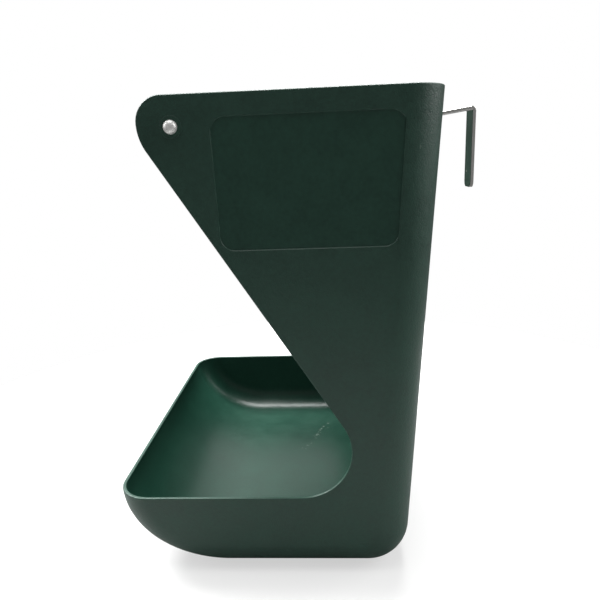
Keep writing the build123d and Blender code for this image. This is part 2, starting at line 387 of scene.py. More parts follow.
@dataclass
class NodeBoard:
    """Thin wrapper that adds and links shader nodes."""

    tree: bpy.types.NodeTree

    def join(self, value: object, socket: Socket) -> None:
        """Links a value that is a socket itself, and otherwise sets the socket to the value.

        Args:
            value: A constant or another node's socket.
            socket: The input.
        """
        if isinstance(value, Socket):
            self.tree.links.new(value, socket)
        else:
            socket.default_value = value

    def feed(self, node: bpy.types.Node, **inputs: object) -> None:
        """Gives a node its inputs, each under its socket's name with underscores for spaces."""
        for key, value in inputs.items():
            self.join(value, node.inputs[key.replace("_", " ")])

    def add(self, kind: str, settings: dict[str, str] | None = None, **inputs: object) -> bpy.types.Node:
        """Adds a node.

        Args:
            kind: The node's type name.
            settings: Properties of the node.
            **inputs: Its inputs, as feed takes them.

        Returns:
            The node.
        """
        node = self.tree.nodes.new(kind)
        for key, value in (settings or {}).items():
            setattr(node, key, value)
        self.feed(node, **inputs)
        return node

    def place(self, scale: Place = (1, 1, 1)) -> Socket:
        """Object coordinates in metres, stretched by a scale."""
        coordinates = self.add("ShaderNodeTexCoord").outputs["Object"]
        return self.add("ShaderNodeMapping", Vector=coordinates, Scale=scale).outputs["Vector"]

    def noise(self, at: Socket, scale: float, detail: float = 2.0, roughness: float = 0.5) -> Socket:
        """Noise value at a place, its scale in waves to a metre."""
        node = self.add("ShaderNodeTexNoise", Vector=at, Scale=scale, Detail=detail, Roughness=roughness)
        return node.outputs["Fac"]

    def bump(self, height: Socket, strength: float, distance: float) -> Socket:
        """Normal of a surface raised by a height, whose full value is a distance in metres."""
        node = self.add("ShaderNodeBump", Height=height, Strength=strength, Distance=distance)
        return node.outputs["Normal"]

    def spread(self, value: Socket, limits: Limits, to_low: float = 0.0, to_high: float = 1.0) -> Socket:
        """Value mapped from its limits to another range, and held at the ends."""
        ends = {"From_Min": limits[0], "From_Max": limits[1], "To_Min": to_low, "To_Max": to_high}
        return self.add("ShaderNodeMapRange", Value=value, **ends).outputs["Result"]

    def fall(self, value: Socket, limits: Limits) -> Socket:
        """Share that falls from one to nought between two limits."""
        return self.spread(value, limits, 1.0, 0.0)

    def around(self, value: Socket, limits: Limits, middle: float, reach: float) -> Socket:
        """Value mapped from its limits to a reach below and above a middle value."""
        return self.spread(value, limits, middle - reach, middle + reach)

    def combine(self, how: str, first: Level, second: Level) -> Socket:
        """Two values put together by a math operation.

        Args:
            how: The operation's name.
            first: First value.
            second: Second value.

        Returns:
            The result.
        """
        node = self.add("ShaderNodeMath", {"operation": how})
        for socket, value in zip(node.inputs, (first, second)):
            self.join(value, socket)
        return node.outputs["Value"]

    def plus(self, first: Level, second: Level) -> Socket:
        """Sum of two values."""
        return self.combine("ADD", first, second)

    def minus(self, first: Level, second: Level) -> Socket:
        """First value less the second."""
        return self.combine("SUBTRACT", first, second)

    def times(self, first: Level, second: Level) -> Socket:
        """Product of two values."""
        return self.combine("MULTIPLY", first, second)

    def weighted(self, *parts: tuple[Socket, float]) -> Socket:
        """Sum of values, each times its weight."""
        return reduce(self.plus, [self.times(value, weight) for value, weight in parts])

    def blend(self, share: Socket, first: Shade, second: Shade) -> Socket:
        """Colour between two colours.

        Args:
            share: Share of the second.
            first: First colour.
            second: Second colour.

        Returns:
            The colour.
        """
        node = self.add("ShaderNodeMix", {"data_type": "RGBA"}, Factor=share)
        colours = {socket.name: socket for socket in node.inputs if socket.type == "RGBA"}
        self.join(first, colours["A"])
        self.join(second, colours["B"])
        return next(socket for socket in node.outputs if socket.type == "RGBA")


def new_material(name: str) -> tuple[bpy.types.Material, NodeBoard, bpy.types.Node]:
    """Makes a material.

    Args:
        name: Its name.

    Returns:
        The material, its node board and its main shader.
    """
    material = bpy.data.materials.new(name)
    material.use_nodes = True
    board = NodeBoard(material.node_tree)
    return material, board, material.node_tree.nodes["Principled BSDF"]


@dataclass(frozen=True)
class ScuffTrail:
    """Pale specks along a short line, left where something rubbed. Lengths are in metres.

    The waves are counts to a metre. The speck limits are distances from a cell's middle, in cells,
    and the gap limits are noise values.
    """

    plane: tuple[str, str]
    start: tuple[float, float]
    end: tuple[float, float]
    width: float
    depth_axis: str
    full_depth: float
    no_depth: float
    wander: float = 0.012
    fade: float = 0.005
    strength: float = 0.6
    core: float = 0.3
    wander_waves: float = 60.0
    speck_waves: float = 330.0
    speck_limits: Limits = (0.2, 0.42)
    gap_waves: float = 300.0
    gap_limits: Limits = (0.44, 0.54)

    def mask(self, board: NodeBoard) -> Socket:
        """Share of rubbed colour at a place.

        In the plane, with u the unit vector from start to end: ahead = (p - start) . u and
        off = u x (p - start) plus a slow noise. The mask is 1 near off = 0 and between the ends,
        times small round cells that a second noise thins out, and only at the given depth.

        Args:
            board: Node board of the material.

        Returns:
            The mask.
        """
        line = np.array(self.end) - np.array(self.start)
        length = float(np.linalg.norm(line))
        along, beside = unit(line).tolist()
        at = board.place()
        axes = board.add("ShaderNodeSeparateXYZ", Vector=at).outputs
        first, second = (board.minus(axes[axis], place) for axis, place in zip(self.plane, self.start))
        ahead = board.weighted((first, along), (second, beside))
        off = board.weighted((first, -beside), (second, along))
        wobble = board.times(board.minus(board.noise(at, self.wander_waves), 0.5), self.wander)
        distance = board.combine("ABSOLUTE", board.plus(off, wobble), 0.0)
        cells = board.add("ShaderNodeTexVoronoi", Vector=at, Scale=self.speck_waves).outputs["Distance"]
        shares = [
            board.fall(distance, (self.width * self.core, self.width)),
            board.spread(ahead, (0.0, self.fade)),
            board.fall(ahead, (length - self.fade, length)),
            board.fall(axes[self.depth_axis], (self.full_depth, self.no_depth)),
            board.fall(cells, self.speck_limits),
            board.spread(board.noise(at, self.gap_waves), self.gap_limits),
        ]
        return board.times(reduce(board.times, shares), self.strength)


@dataclass(frozen=True)
class FeederPlastic:
    """Dark green moulded plastic: a fine matt grain, cloudy colour and faint rubs.

    The waves are counts to a metre, the limits are noise values and the grain height is in metres.
    """

    name: str
    colour: Colour = (0.0070, 0.0365, 0.0236, 1.0)
    light_colour: Colour = (0.0122, 0.0535, 0.0352, 1.0)
    roughness: float = 0.46
    roughness_spread: float = 0.07
    grain_depth: float = 0.7
    grain_height: float = 0.0004
    grain_waves: float = 1200.0
    pebble_waves: float = 396.0
    cloud_waves: float = 60.0
    slow_waves: float = 14.0
    colour_limits: Limits = (0.38, 0.64)
    gloss_limits: Limits = (0.35, 0.65)
    specular: float = 0.5
    refraction: float = 1.49
    rubbed_colour: Colour = (0.33, 0.39, 0.34, 1.0)
    rubbed_roughness: float = 0.25
    scuff: ScuffTrail | None = None

    def build(self) -> bpy.types.Material:
        """Makes the material.

        The grain is two layers of noise, about one and two and a half millimetres wide. Colour
        and gloss drift with the coarser one and with two slow noises. A scuffed finish adds its
        trail of pale specks.

        Returns:
            The material.
        """
        material, board, shader = new_material(self.name)
        at = board.place()
        slow = board.noise(at, self.slow_waves, detail=3.0, roughness=0.55)
        cloud = board.noise(at, self.cloud_waves, detail=3.0, roughness=0.6)
        pebble = board.noise(at, self.pebble_waves, roughness=0.55)
        grain = board.noise(at, self.grain_waves, roughness=0.6)
        drift = board.weighted((slow, 0.33), (cloud, 0.32), (pebble, 0.35))
        height = board.weighted((grain, 0.55), (pebble, 0.45))
        colour = board.blend(board.spread(drift, self.colour_limits), self.colour, self.light_colour)
        rough = board.around(drift, self.gloss_limits, self.roughness, self.roughness_spread)
        if self.scuff:
            marks = self.scuff.mask(board)
            colour = board.blend(marks, colour, self.rubbed_colour)
            rough = board.plus(rough, board.times(marks, self.rubbed_roughness))
        normal = board.bump(height, self.grain_depth, self.grain_height)
        board.feed(shader, Base_Color=colour, Roughness=rough, Normal=normal)
        board.feed(shader, Specular_IOR_Level=self.specular, IOR=self.refraction)
        return material


@dataclass(frozen=True)
class PlatedSteel:
    """Plated steel: a fine grain, drawn into lines where its stretch is uneven, and a cloudy shine.

    The waves are counts to a metre, the limits are noise values and the grain height is in metres.
    """

    name: str
    roughness: float
    roughness_spread: float = 0.05
    colour: Colour = (0.60, 0.60, 0.58, 1.0)
    dull_colour: Colour = (0.47, 0.48, 0.47, 1.0)
    cloud_waves: float = 130.0
    colour_limits: Limits = (0.35, 0.68)
    gloss_limits: Limits = (0.3, 0.7)
    grain_waves: float = 2600.0
    grain_stretch: Place = (1.0, 1.0, 1.0)
    grain_depth: float = 0.06
    grain_height: float = 0.0002
    grain_roughness: float = 0.02
    metallic: float = 1.0

    def build(self) -> bpy.types.Material:
        """Makes the material: the grain is fine noise and the dull patches are slow noise.

        Returns:
            The material.
        """
        material, board, shader = new_material(self.name)
        grain = board.noise(board.place(self.grain_stretch), self.grain_waves, roughness=0.6)
        cloud = board.noise(board.place(), self.cloud_waves, detail=3.0, roughness=0.6)
        colour = board.blend(board.spread(cloud, self.colour_limits), self.colour, self.dull_colour)
        gloss = board.around(cloud, self.gloss_limits, self.roughness, self.roughness_spread)
        rough = board.plus(gloss, board.times(grain, self.grain_roughness))
        normal = board.bump(grain, self.grain_depth, self.grain_height)
        board.feed(shader, Base_Color=colour, Roughness=rough, Normal=normal, Metallic=self.metallic)
        return material


@dataclass(frozen=True)
class PalePlastic:
    """Undyed plastic of the small centring washers. The waves are counts to a metre."""

    name: str = "natural_plastic"
    colour: Colour = (0.62, 0.60, 0.54, 1.0)
    shade: Colour = (0.50, 0.48, 0.43, 1.0)
    roughness: float = 0.44
    roughness_spread: float = 0.06
    gloss_limits: Limits = (0.3, 0.7)
    colour_waves: float = 240.0
    grain_waves: float = 1800.0
    gloss_waves: float = 90.0
    grain_depth: float = 0.1
    grain_height: float = 0.0002
    milkiness: float = 0.1
    milk_depth: float = 0.002

    def build(self) -> bpy.types.Material:
        """Makes the material, slightly milky, with a faint grain.

        Returns:
            The material.
        """
        material, board, shader = new_material(self.name)
        at = board.place()
        colour = board.blend(board.noise(at, self.colour_waves, detail=3.0), self.colour, self.shade)
        gloss = board.noise(at, self.gloss_waves)
        rough = board.around(gloss, self.gloss_limits, self.roughness, self.roughness_spread)
        normal = board.bump(board.noise(at, self.grain_waves), self.grain_depth, self.grain_height)
        board.feed(shader, Base_Color=colour, Roughness=rough, Normal=normal)
        board.feed(shader, Subsurface_Weight=self.milkiness, Subsurface_Scale=self.milk_depth)
        return material


# The feeder


@dataclass(frozen=True)
class FeederForm:
    """Side view of the feeder that all its pieces share. Angles are in degrees."""

    height: float = 0.299
    base_width: float = 0.256
    side_draft: float = 1.0
    back_draft: float = 3.46
    back_foot: float = 0.0524
    wall: float = 0.0025
    corner_radius: float = 0.022
    back_bottom_radius: float = 0.0276
    tray_front: float = -0.1369
    rim_height: float = 0.0567
    curve_run: float = 0.0713
    mouth_radius: float = 0.0319
    mouth_margin: float = 0.0138
    rim_edge: float = 0.0008
    nose_tip: float = -0.0944
    crown_radius: float = 0.0143
    brow_radius: float = 0.0277
    rod_setback: float = 0.0187
    rod_drop: float = 0.0165
    boss_proud: float = 0.0003
    panel_thickness: float = 0.0025
    panel_setback: float = 0.005
    panel_foot: float = 0.081
    curve_start: float = 4.0
    top_band: float = 0.006

    @property
    def rod_centre(self) -> Array:
        """Side view place of the cross rod, behind the tip of the nose and under the top."""
        return np.array([self.nose_tip + self.rod_setback, self.height - self.rod_drop])

    @property
    def brow_centre(self) -> Array:
        """Centre of the longer arc of the nose, level with the centre of its tighter crown."""
        return np.array([self.nose_tip + self.brow_radius, self.height - self.crown_radius])

    @property
    def mouth_corner(self) -> Array:
        """Sharp corner of the mouth, on the tray rim's level a margin in front of the back wall."""
        return np.array([self.back_plane(self.rim_height) - self.mouth_margin, self.rim_height])

    @property
    def front_slope(self) -> float:
        """Slope in degrees of the edge that touches the brow and meets the rim at the mouth's corner.

        Returns:
            The slope under the level.
        """
        reach = self.brow_centre - self.mouth_corner
        touch = math.asin(self.brow_radius / math.hypot(*reach))
        return math.degrees(math.atan2(reach[1], -reach[0]) - touch)

    @property
    def slant_top(self) -> Array:
        """Where the slanted edge ends and the brow begins."""
        return self.brow_centre + self.out_front * self.brow_radius

    @property
    def hood_radius(self) -> float:
        """Radius of the front panel's hood, which leaves the sheet behind the slanted edge."""
        return float((self.slant_top - self.rod_centre) @ self.out_front) - self.panel_setback

    @property
    def panel_length(self) -> float:
        """Length of the front panel's slope from the hood to the middle of its bead."""
        start = self.off_rod(self.hood_radius)
        return float((start[1] - self.panel_foot) / -self.down_front[1])

    def slant_y(self, z: float) -> float:
        """Y of the slanted edge at a height."""
        along, down = self.down_front
        return float(self.slant_top[0] + (z - self.slant_top[1]) * along / down)

    @property
    def down_front(self) -> Array:
        """Direction down along the slanted front edge."""
        return direction(-self.front_slope)

    @property
    def out_front(self) -> Array:
        """Direction square to the slanted edge, out of the hopper."""
        return direction(-90.0 - self.front_slope)

    def off_rod(self, out: float, down: float = 0.0) -> Array:
        """Side view place at a distance out of the rod's centre and one down along the slant."""
        return self.rod_centre + self.out_front * out + self.down_front * down

    def half_width(self, z: Array | float, inset: float = 0.0) -> Array | float:
        """Half the width at a height, less an inset square to the side wall."""
        slope = math.radians(self.side_draft)
        return self.base_width / 2 + z * math.tan(slope) - inset / math.cos(slope)

    def back_plane(self, z: Array | float, inset: float = 0.0) -> Array | float:
        """Y of the back wall at a height, less an inset square to it."""
        slope = math.radians(self.back_draft)
        return self.back_foot + z * math.tan(slope) - inset / math.cos(slope)

    def side_normal(self, side: Side) -> Array:
        """Outward normal of a side wall."""
        slope = math.radians(self.side_draft)
        return np.array([side.value * math.cos(slope), 0.0, -math.sin(slope)])

    def beside(self, inset: float) -> Ends:
        """End planes that stand in from both side walls by an inset."""
        return lambda z: (-self.half_width(z, inset), self.half_width(z, inset))

    def belt_line(self, inset: float) -> Faced:
        """Line from the tray's front rim under the floor and up the back wall.

        A quarter ellipse, the flat floor, an arc tangent to the floor and the leaning back wall,
        and the wall with a last narrow band. The ellipse's normal is its gradient.

        Args:
            inset: Distance in from the outer face.

        Returns:
            Points and outward normals (y, z).
        """
        turn = np.radians(np.concatenate([[0.0], np.linspace(self.curve_start, 90, num=44)]))
        run, rise = self.curve_run - inset, self.rim_height - inset
        middle = self.tray_front + self.curve_run
        curve = np.stack([middle - run * np.cos(turn), self.rim_height - rise * np.sin(turn)], axis=-1)
        curve_normals = unit(np.stack([-np.cos(turn) / run, -np.sin(turn) / rise], axis=-1))
        radius = self.back_bottom_radius - inset
        centre = np.array([self.back_plane(inset + radius, inset + radius), inset + radius])
        floor_y = np.linspace(middle, centre[0], num=10)[1:-1]
        floor = np.stack([floor_y, np.full_like(floor_y, inset)], axis=-1)
        swing = np.radians(np.linspace(-90, -self.back_draft, num=20))
        rays = np.stack([np.cos(swing), np.sin(swing)], axis=-1)
        bend = centre + radius * rays
        band_z = np.linspace(bend[-1, 1], self.height - self.top_band, num=14)[1:]
        wall_z = np.append(band_z, self.height)
        wall = np.stack([self.back_plane(wall_z, inset), wall_z], axis=-1)
        points = np.concatenate([curve, floor, bend, wall])
        down = np.broadcast_to([0.0, -1.0], floor.shape)
        back = np.broadcast_to(rays[-1], wall.shape)
        return points, np.concatenate([curve_normals, down, rays, back])

    def cut_line(self) -> Faced:
        """Edge of a side wall: tray corner, round the mouth, up the slant, round the nose and back.

        Straight runs joined by arcs: the mouth's is hollow, so its normals point to its centre.

        Returns:
            Points and normals (y, z) that point out of the plastic.
        """
        under_brow = self.brow_radius * math.tan(math.radians(45 - self.front_slope / 2))
        line = np.array([
            [self.tray_front + self.corner_radius, self.rim_height],
            self.mouth_corner,
            [self.nose_tip, self.brow_centre[1] - under_brow],
            [self.nose_tip, self.height],
            [self.back_plane(self.height, self.corner_radius), self.height],
        ])
        radii = [0, self.mouth_radius, self.brow_radius, self.crown_radius, 0]
        points, normals = rounded_outline(line, radii, steps=24, closed=False)
        kept = np.append(np.linalg.norm(np.diff(points, axis=0), axis=1) > SAME_PLACE, True)
        return points[kept], -normals[kept]


@dataclass(frozen=True)
class SunkField:
    """Shallow field with rounded corners, sunk into the near side wall. Bare."""

    top_margin: float = 0.0121
    height: float = 0.0714
    slant_margin: float = 0.0026
    front_lean: float = 0.0013
    back_margin: float = 0.0215
    corner_radius: float = 0.008
    depth: float = 0.0006
    slope_width: float = 0.0006

    def rings(self, form: FeederForm) -> Faced:
        """Rings from the wall down the sunk edge to the field.

        At a distance d along the border's normal the depth is the field's depth times a smooth
        step, 3t^2 - 2t^3, and the normal leans inward by the step's slope.

        Args:
            form: The feeder's side view.

        Returns:
            Grids of points and normals, ring by border.
        """
        top = form.height - self.top_margin
        bottom = top - self.height
        front = form.slant_y(bottom) + self.slant_margin
        corners = np.array([
            [front, bottom],
            [form.back_plane(bottom) - self.back_margin, bottom],
            [form.back_plane(top) - self.back_margin, top],
            [front - self.front_lean, top],
        ])
        border, outward = rounded_outline(corners, [self.corner_radius] * 4, steps=12)
        share = np.linspace(0, 1, num=9)
        sink = self.depth * (3 * share**2 - 2 * share**3)
        lean = -self.depth * (6 * share - 6 * share**2) / self.slope_width
        offset = self.slope_width * (0.5 - share)
        flat = border[None] + outward[None] * offset[:, None, None]
        across = form.half_width(flat[..., 1]) - sink[:, None]
        points = np.concatenate([across[..., None], flat], axis=-1)
        base = form.side_normal(Side.RIGHT)
        tilt = np.concatenate([np.zeros_like(outward[:, :1]), outward], axis=1)
        return points, unit(base + tilt[None] * lean[:, None, None])


@dataclass
class FeederShell:
    """One moulding: back wall, side walls with their noses, floor and tray."""

    form: FeederForm
    sunk_field: SunkField = SunkField()
    corner_steps: int = 14
    span_steps: int = 12
    boss_radius: float = 0.006
    boss_edge: float = 0.0002
    guide_gap: float = 0.0003
    guide_thickness: float = 0.003
    guide_reach: float = 0.009
    guide_length: float = 0.052
    guide_foot_gap: float = 0.026
    guide_corner: float = 0.0012
    guide_edge: float = 0.0006

    def belt(self, skin: Skin) -> Faced:
        """Front, floor and back as one strip, with the rounded edges that meet the side walls.

        Args:
            skin: Outer or inner face of the wall.

        Returns:
            Grids of points and normals. The first row is level with the tray rim and the last
            with the top, both short of the edge by the rim's rounding.
        """
        form = self.form
        inset = form.wall * skin.value
        line, normals = form.belt_line(inset)
        radius, arc = form.corner_radius - inset, self.corner_steps
        points, facing = crosswise(line, normals, form.beside(inset), radius, arc, self.span_steps)
        points[0, :, 2] = form.rim_height - form.rim_edge
        extra = points[-1, :, 2] - (form.height - form.rim_edge)
        points[-1, :, 1] -= extra * math.tan(math.radians(form.back_draft))
        points[-1, :, 2] -= extra
        middle = np.linspace(-1, 1, self.span_steps + 1)
        step = radius * (1 - np.sin(np.radians(np.linspace(90, 0, arc + 1))))
        for row in (0, -1):
            ends = form.half_width(points[row, :, 2], inset)
            points[row, : arc + 1, 0] = step - ends[: arc + 1]
            points[row, -arc - 1 :, 0] = ends[-arc - 1 :] - step[::-1]
            points[row, arc:-arc, 0] = middle * points[row, -arc - 1, 0]
        return points, facing * skin.outward

    def side_sheet(self, side: Side, skin: Skin, belt: Array, hole: Array | None = None) -> Patch:
        """Flat part of a side wall, between the cut line and the rounded edges of the belt.

        Args:
            side: Which wall.
            skin: Outer or inner face.
            belt: The belt's points for that skin.
            hole: Ring that the sunk field leaves open.

        Returns:
            The patch.
        """
        inset = self.form.wall * skin.value
        edge = belt[:, 0 if side is Side.LEFT else -1]
        cut = self.side_rim(side, inset, edge)
        border = np.concatenate([cut, edge[-2:0:-1]])
        normal = self.form.side_normal(side) * skin.outward
        slot = ShellSlot.GRAINED if skin is Skin.OUTER else ShellSlot.SMOOTH
        return flat_patch([border] + ([hole] if hole is not None else []), normal, slot.value)

    def side_rim(self, side: Side, inset: float, edge: Array) -> Array:
        """Points of a side wall just short of its cut line, ending on the belt's own corners.

        Args:
            side: Which wall.
            inset: Distance in from the outer face.
            edge: The belt's points along that wall.

        Returns:
            The points, from the tray to the back.
        """
        line, normals = self.form.cut_line()
        flat = line - normals * self.form.rim_edge
        across = side.value * self.form.half_width(flat[:, 1], inset)
        points = np.concatenate([across[:, None], flat], axis=1)
        points[0], points[-1] = edge[0], edge[-1]
        return points

    def rim(self, outer: Faced, inner: Faced) -> Patch:
        """Rounded edge that joins the outer face to the inner all the way round.

        At each station the section starts at the outer face, turns through a quarter circle
        toward the air, crosses the thickness and turns back: outer + (inner - outer) a + air h.

        Args:
            outer: Points and normals of the outer belt.
            inner: Points and normals of the inner belt.

        Returns:
            The closed band.
        """
        form = self.form
        cut_normals = form.cut_line()[1][1:-1]
        air = np.concatenate([np.zeros_like(cut_normals[:, :1]), cut_normals], axis=1)
        loops = {}
        for skin, (points, facing) in ((Skin.OUTER, outer), (Skin.INNER, inner)):
            inset = form.wall * skin.value
            right = self.side_rim(Side.RIGHT, inset, points[:, -1])[1:-1]
            left = self.side_rim(Side.LEFT, inset, points[:, 0])[-2:0:-1]
            normals = {s: np.broadcast_to(form.side_normal(s) * skin.outward, air.shape) for s in Side}
            loops[skin] = (
                np.concatenate([points[0], right, points[-1, ::-1], left]),
                np.concatenate([facing[0], normals[Side.RIGHT], facing[-1, ::-1], normals[Side.LEFT]]),
            )
        level = np.broadcast_to(UP, outer[0][0].shape)
        toward_air = np.concatenate([level, air, level, air[::-1]])
        turn = np.linspace(0, math.pi / 2, num=6)
        share = form.rim_edge / form.wall * (1 - np.cos(turn))
        shares = np.concatenate([share, 1 - share[::-1]])[:, None, None]
        lifts = form.rim_edge * np.concatenate([np.sin(turn), np.sin(turn)[::-1]])[:, None, None]
        (out_points, out_normals), (in_points, in_normals) = loops[Skin.OUTER], loops[Skin.INNER]
        points = out_points + (in_points - out_points) * shares + toward_air * lifts
        cosine, sine = np.cos(turn)[:, None, None], np.sin(turn)[:, None, None]
        facing = np.concatenate([
            out_normals * cosine + toward_air * sine,
            in_normals * cosine[::-1] + toward_air * sine[::-1],
        ])
        return grid_patch(points, facing, closed_v=True, slot=ShellSlot.GRAINED.value)

    def bosses(self) -> list[Patch]:
        """Flat round pads where the rod goes through each nose, proud of both faces.

        Returns:
            A disc for each side wall.
        """
        form = self.form
        outside = form.half_width(form.rod_centre[1]) + form.boss_proud
        inside = form.half_width(form.rod_centre[1], form.wall) - form.boss_proud
        centre = np.array([0.0, *form.rod_centre])
        radius, edge = self.boss_radius, self.boss_edge
        return [turned_disc(inside, outside, radius, edge, centre, ACROSS * side.value) for side in Side]

    def guides(self) -> list[Patch]:
        """Ribs inside the side walls that hold the lower corners of the front panel.

        Each is a bar with a rounded oblong section, rooted in the middle of the wall. One stands
        in front of the sheet and one behind it, a gap away.

        Returns:
            The patches of all the ribs.
        """
        form = self.form
        near_back = form.hood_radius - form.panel_thickness - self.guide_gap
        near_front = form.hood_radius + self.guide_gap
        end = form.panel_length - self.guide_foot_gap
        start = end - self.guide_length
        middle = form.off_rod(form.hood_radius, (start + end) / 2)
        root = form.half_width(middle[1], form.wall / 2)
        thick = self.guide_thickness
        patches = []
        for low, high in ((near_front, near_front + thick), (near_back - thick, near_back)):
            places = ((high, start), (high, end), (low, end), (low, start))
            corners = np.stack([form.off_rod(out, down) for out, down in places])
            outline, normals = rounded_outline(corners, [self.guide_corner] * 4, steps=4)
            for side in Side:
                reach = sorted((side.value * root, side.value * (root - self.guide_reach)))
                ends, slot = level_ends(*reach), ShellSlot.SMOOTH.value
                patches += capped_bar(outline, normals, ends, self.guide_edge, slot)
        return patches

    def build(self, materials: list[bpy.types.Material]) -> bpy.types.Object:
        """Builds the moulding and lets it stand for its solid.

        Args:
            materials: The finish of each shell slot.

        Returns:
            The shell.
        """
        outer, inner = self.belt(Skin.OUTER), self.belt(Skin.INNER)
        ring_points, ring_normals = self.sunk_field.rings(self.form)
        piece = Moulding("feeder_shell")
        piece.add(grid_patch(*outer, slot=ShellSlot.GRAINED.value))
        piece.add(grid_patch(*inner, slot=ShellSlot.SMOOTH.value))
        for side in Side:
            hole = ring_points[0] if side is Side.RIGHT else None
            piece.add(self.side_sheet(side, Skin.OUTER, outer[0], hole))
            piece.add(self.side_sheet(side, Skin.INNER, inner[0]))
        piece.add(grid_patch(ring_points, ring_normals, closed_v=True, slot=ShellSlot.SUNK.value))
        piece.add(flat_patch([ring_points[-1]], self.form.side_normal(Side.RIGHT), ShellSlot.SUNK.value))
        piece.add(self.rim(outer, inner), *self.bosses(), *self.guides())
        shell = piece.build(materials)
        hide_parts("feeder_body")
        return shell


@dataclass
class FrontPanel:
    """Slanted sheet between the side walls, with a round hood over the rod and a beaded lower edge."""

    form: FeederForm
    lip: float = 0.006
    lip_edge: float = 0.0012
    side_gap: float = 0.002
    side_edge: float = 0.0006
    bead_radius: float = 0.0024
    bead_edge: float = 0.0008
    rib_thickness: float = 0.0025
    rib_pitch: float = 0.086
    rib_edge: float = 0.0004
    hub_radius: float = 0.005
    hub_proud: float = 0.0002

    def outline(self) -> Faced:
        """Section of the sheet: the hood rounds the corner between its level top and the slope.

        Returns:
            Points and outward normals (y, z).
        """
        form = self.form
        rod_y, rod_z = form.rod_centre
        over, under = form.hood_radius, form.hood_radius - form.panel_thickness
        crown = {}
        for radius in (over, under):
            start = form.off_rod(radius)
            rise = rod_z + radius - start[1]
            crown[radius] = start + form.down_front * (rise / form.down_front[1])
        foot = form.off_rod(over, form.panel_length)
        corners = np.array([
            [rod_y + self.lip, rod_z + over],
            crown[over],
            foot,
            foot - form.out_front * form.panel_thickness,
            crown[under],
            [rod_y + self.lip, rod_z + under],
        ])
        radii = [self.lip_edge, over, 0, 0, under, self.lip_edge]
        return rounded_outline(corners, radii, steps=16)

    def build(self, material: bpy.types.Material) -> bpy.types.Object:
        """Builds the panel with its bead, its ribs, its ears and its hubs.

        Args:
            material: Finish of the panel.

        Returns:
            The panel, standing for its solid.
        """
        form = self.form
        inset = form.wall + self.side_gap
        piece = Moulding("feed_panel")
        piece.add(*capped_bar(*self.outline(), form.beside(inset), self.side_edge))
        middle = form.hood_radius - form.panel_thickness / 2
        foot = form.off_rod(middle, form.panel_length)
        rays = circle(32)
        piece.add(*capped_bar(foot + rays * self.bead_radius, rays, form.beside(inset), self.bead_edge))
        thick = self.rib_thickness
        ear = form.half_width(form.rod_centre[1] - middle, inset)
        hub = form.half_width(form.rod_centre[1], inset) + self.hub_proud
        stations = [(side.value * self.rib_pitch / 2 - thick / 2, middle) for side in Side]
        stations += [(ear - thick, middle), (-ear, middle)]
        stations += [(hub - thick, self.hub_radius), (-hub, self.hub_radius)]
        centre = np.array([0.0, *form.rod_centre])
        for low, radius in stations:
            piece.add(turned_disc(low, low + thick, radius, self.rib_edge, centre, ACROSS))
        panel = piece.build([material])
        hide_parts("front_panel")
        return panel


